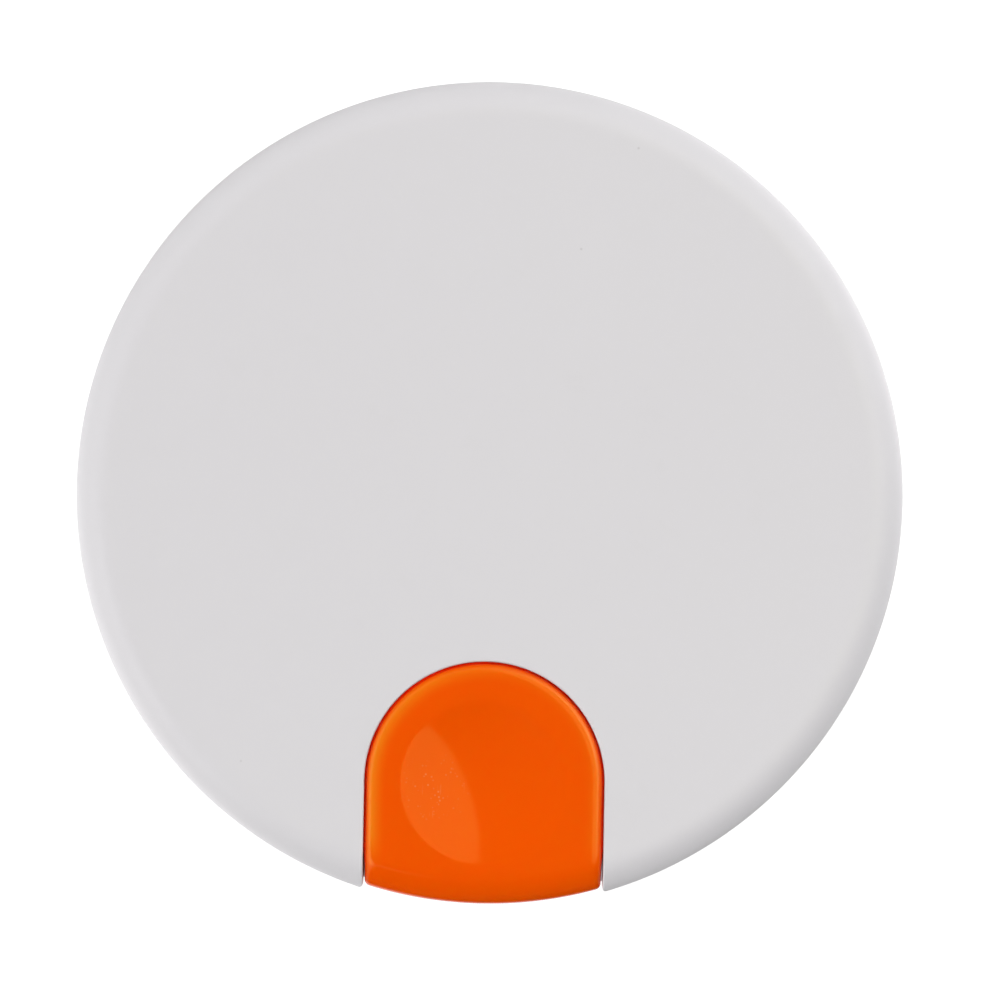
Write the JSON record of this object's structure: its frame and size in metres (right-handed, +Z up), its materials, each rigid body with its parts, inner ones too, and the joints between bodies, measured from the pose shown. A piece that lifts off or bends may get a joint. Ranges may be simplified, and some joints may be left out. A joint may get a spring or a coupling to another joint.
{
  "type": "ice fishing tip-up",
  "caption": "Round insulated hole cover with an internal line spool; a rocker thumb key, also tripped by the spool, releases a hinged lid with a signal panel inside.",
  "frame": {"origin": "middle of the foam ring's lower face, on the ice", "axes": "+Z up, the thumb key towards -Y, the lid's hinge towards +Y"},
  "size_m": [0.2, 0.199, 0.038],
  "materials": {
    "white_shell": "fine satin texture",
    "foam": "matte closed-cell foam",
    "seal": "matte",
    "steel": "bright",
    "spring_steel": "polished wire",
    "brass": "satin",
    "line": "braided",
    "signal": "bright signal orange",
    "key_orange": "glossy",
    "spool_grey": "satin",
    "washer": "smooth acetal"
  },
  "bodies": {
    "base": {"base_shell": "white_shell", "foam_ring": "foam", "rim_seal_left": "seal", "rim_seal_right": "seal", "fairlead": "steel", "hook_block": "foam", "spool_axle": "steel", "thrust_washer": "washer", "drag_washer": "steel", "drag_spring": "spring_steel", "hinge_pin": "steel", "hinge_spring_left": "spring_steel", "hinge_spring_right": "spring_steel", "key_pin": "steel", "key_spring": "spring_steel", "lever_screw": "steel", "line_keeper": "steel", "line_swivel": "brass", "line_run": "line"},
    "lid": {"lid_shell": "white_shell", "lid_insulation": "foam", "signal_panel": "signal", "panel_screw_1": "steel", "panel_screw_2": "steel", "panel_screw_3": "steel", "panel_screw_4": "steel"},
    "key": {"catch_key": "key_orange"},
    "lever": {"trip_lever": "brass"},
    "spool": {"spool": "spool_grey", "spool_bush": "brass", "line_winding": "line", "trip_dog": "brass", "dog_screw": "steel", "knob_pin": "steel"},
    "knob": {"winding_knob": "key_orange"},
    "drag": {"drag_knob": "key_orange"}
  },
  "joints": [
    {"name": "lid_hinge", "type": "hinge", "parent": "base", "child": "lid", "pos_m": [0, 0.095, 0.0195], "axis": [-1, 0, 0], "range_deg": [0, 105]},
    {"name": "key_press", "type": "hinge", "parent": "base", "child": "key", "pos_m": [0, -0.054, 0.02], "axis": [1, 0, 0], "range_deg": [0, 6], "stiffness_Nm_per_rad": 0.2, "springref_deg": -8.59, "deforming": ["key_spring"]},
    {"name": "lever_swing", "type": "hinge", "parent": "base", "child": "lever", "pos_m": [0.01, -0.036, 0.0101], "axis": [0, 0, 1], "range_deg": [-5.5, 0.1]},
    {"name": "spool_spin", "type": "hinge", "parent": "base", "child": "spool", "pos_m": [0, 0.027, 0.017], "axis": [0, 0, 1], "continuous": true},
    {"name": "knob_spin", "type": "hinge", "parent": "spool", "child": "knob", "pos_m": [0.03118, 0.045, 0.027], "axis": [0, 0, 1], "continuous": true},
    {"name": "drag_turn", "type": "hinge", "parent": "base", "child": "drag", "pos_m": [0, 0.027, 0.029], "axis": [0, 0, 1], "range_deg": [0, 270]}
  ],
  "couplings": [
    {"joint": "lever_swing", "follows": "key_press", "ratio": -0.9}
  ]
}
